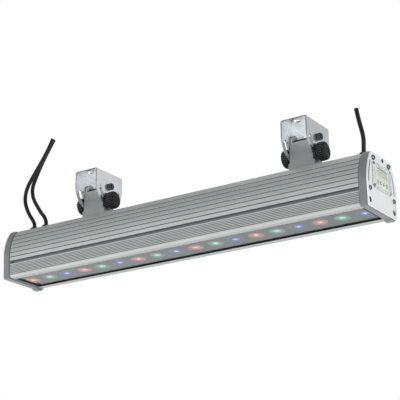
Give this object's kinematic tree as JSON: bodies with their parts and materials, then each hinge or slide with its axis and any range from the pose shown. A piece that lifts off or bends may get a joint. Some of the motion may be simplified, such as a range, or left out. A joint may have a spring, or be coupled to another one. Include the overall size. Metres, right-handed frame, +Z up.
{
  "type": "led wall washer",
  "caption": "Finned aluminium light bar with coloured lenses behind a glass window, held by tilting U-shaped yokes with clamping knobs",
  "frame": {"origin": "midway between the centres of the two yokes' flat top faces, where the bar hangs", "axes": "+X along the bar towards the end with the control panel, -Y the front with the broad groove, +Z up, away from the window"},
  "size_m": [0.5232, 0.0704, 0.1989],
  "materials": {
    "satin_aluminium": "extruded and satin anodised",
    "grey_casting": "die cast, fine matt grey coat",
    "bright_plate": "bright silver sheet",
    "zinc_steel": "bright zinc plated sheet",
    "screw_steel": "stainless",
    "black_steel": "black oxide",
    "black_rubber": "moulded silicone",
    "black_plastic": "moulded nylon",
    "cable_jacket": "smooth rubber jacket",
    "clear_glass": "toughened float glass",
    "clear_plastic": "clear moulded acrylic",
    "board_white": "white solder mask",
    "board_green": "green solder mask",
    "part_dark": "dark moulded case",
    "button_grey": "grey rubbery plastic"
  },
  "bodies": {
    "housing": {"housing_extrusion": "satin_aluminium", "left_end_cap": "grey_casting", "right_end_cap": "grey_casting", "left_cap_gasket": "black_rubber", "right_cap_gasket": "black_rubber", "left_end_plate": "bright_plate", "right_end_plate": "bright_plate", "left_upper_cap_screw_1": "screw_steel", "left_upper_cap_screw_2": "screw_steel", "left_lower_cap_screw_1": "screw_steel", "left_lower_cap_screw_2": "screw_steel", "right_upper_cap_screw_1": "screw_steel", "right_upper_cap_screw_2": "screw_steel", "right_lower_cap_screw_1": "screw_steel", "right_lower_cap_screw_2": "screw_steel", "window_glass": "clear_glass", "window_seal": "black_rubber", "lens_array": "clear_plastic", "led_board": "board_white", "power_supply": "part_dark", "driver_board": "board_green", "control_board": "board_green", "control_display": "part_dark", "control_panel": "black_plastic", "cover_gasket": "black_rubber", "control_cover": "clear_plastic", "mains_gland": "black_plastic", "data_in_gland": "black_plastic", "data_out_gland": "black_plastic", "mains_gland_nut": "black_plastic", "data_in_gland_nut": "black_plastic", "data_out_gland_nut": "black_plastic", "mains_cable": "cable_jacket", "data_in_cable": "cable_jacket", "data_out_cable": "cable_jacket", "mains_lead": "cable_jacket", "data_in_lead": "cable_jacket", "data_out_lead": "cable_jacket", "left_bracket": "grey_casting", "right_bracket": "grey_casting", "left_bracket_screw_1": "screw_steel", "left_bracket_screw_2": "screw_steel", "right_bracket_screw_1": "screw_steel", "right_bracket_screw_2": "screw_steel", "left_slot_nut": "screw_steel", "right_slot_nut": "screw_steel", "left_pivot_bolt": "black_steel", "right_pivot_bolt": "black_steel", "left_pivot_nut": "black_steel", "right_pivot_nut": "black_steel"},
    "left_yoke": {"left_yoke": "zinc_steel"},
    "right_yoke": {"right_yoke": "zinc_steel"},
    "left_yoke_left_knob": {"left_yoke_left_knob": "black_plastic"},
    "left_yoke_right_knob": {"left_yoke_right_knob": "black_plastic"},
    "right_yoke_left_knob": {"right_yoke_left_knob": "black_plastic"},
    "right_yoke_right_knob": {"right_yoke_right_knob": "black_plastic"},
    "mode_button": {"mode_button": "button_grey"},
    "up_button": {"up_button": "button_grey"},
    "down_button": {"down_button": "button_grey"},
    "enter_button": {"enter_button": "button_grey"}
  },
  "joints": [
    {"name": "left_yoke_tilt", "type": "hinge", "parent": "housing", "child": "left_yoke", "pos_m": [-0.15, 0, -0.019], "axis": [1, 0, 0], "range_deg": [-75, 75]},
    {"name": "right_yoke_tilt", "type": "hinge", "parent": "housing", "child": "right_yoke", "pos_m": [0.15, 0, -0.019], "axis": [1, 0, 0], "range_deg": [-75, 75]},
    {"name": "left_yoke_left_knob_turn", "type": "hinge", "parent": "housing", "child": "left_yoke_left_knob", "pos_m": [-0.1673, 0, -0.0376], "axis": [-1, 0, 0], "range_deg": [0, 360]},
    {"name": "left_yoke_right_knob_turn", "type": "hinge", "parent": "housing", "child": "left_yoke_right_knob", "pos_m": [-0.1327, 0, -0.0376], "axis": [1, 0, 0], "range_deg": [0, 360]},
    {"name": "right_yoke_left_knob_turn", "type": "hinge", "parent": "housing", "child": "right_yoke_left_knob", "pos_m": [0.1327, 0, -0.0376], "axis": [-1, 0, 0], "range_deg": [0, 360]},
    {"name": "right_yoke_right_knob_turn", "type": "hinge", "parent": "housing", "child": "right_yoke_right_knob", "pos_m": [0.1673, 0, -0.0376], "axis": [1, 0, 0], "range_deg": [0, 360]},
    {"name": "mode_button_press", "type": "slide", "parent": "housing", "child": "mode_button", "axis": [-1, 0, 0], "range_m": [0, 0.0008], "stiffness_N_per_m": 800, "springref_m": -0.001},
    {"name": "up_button_press", "type": "slide", "parent": "housing", "child": "up_button", "axis": [-1, 0, 0], "range_m": [0, 0.0008], "stiffness_N_per_m": 800, "springref_m": -0.001},
    {"name": "down_button_press", "type": "slide", "parent": "housing", "child": "down_button", "axis": [-1, 0, 0], "range_m": [0, 0.0008], "stiffness_N_per_m": 800, "springref_m": -0.001},
    {"name": "enter_button_press", "type": "slide", "parent": "housing", "child": "enter_button", "axis": [-1, 0, 0], "range_m": [0, 0.0008], "stiffness_N_per_m": 800, "springref_m": -0.001}
  ]
}
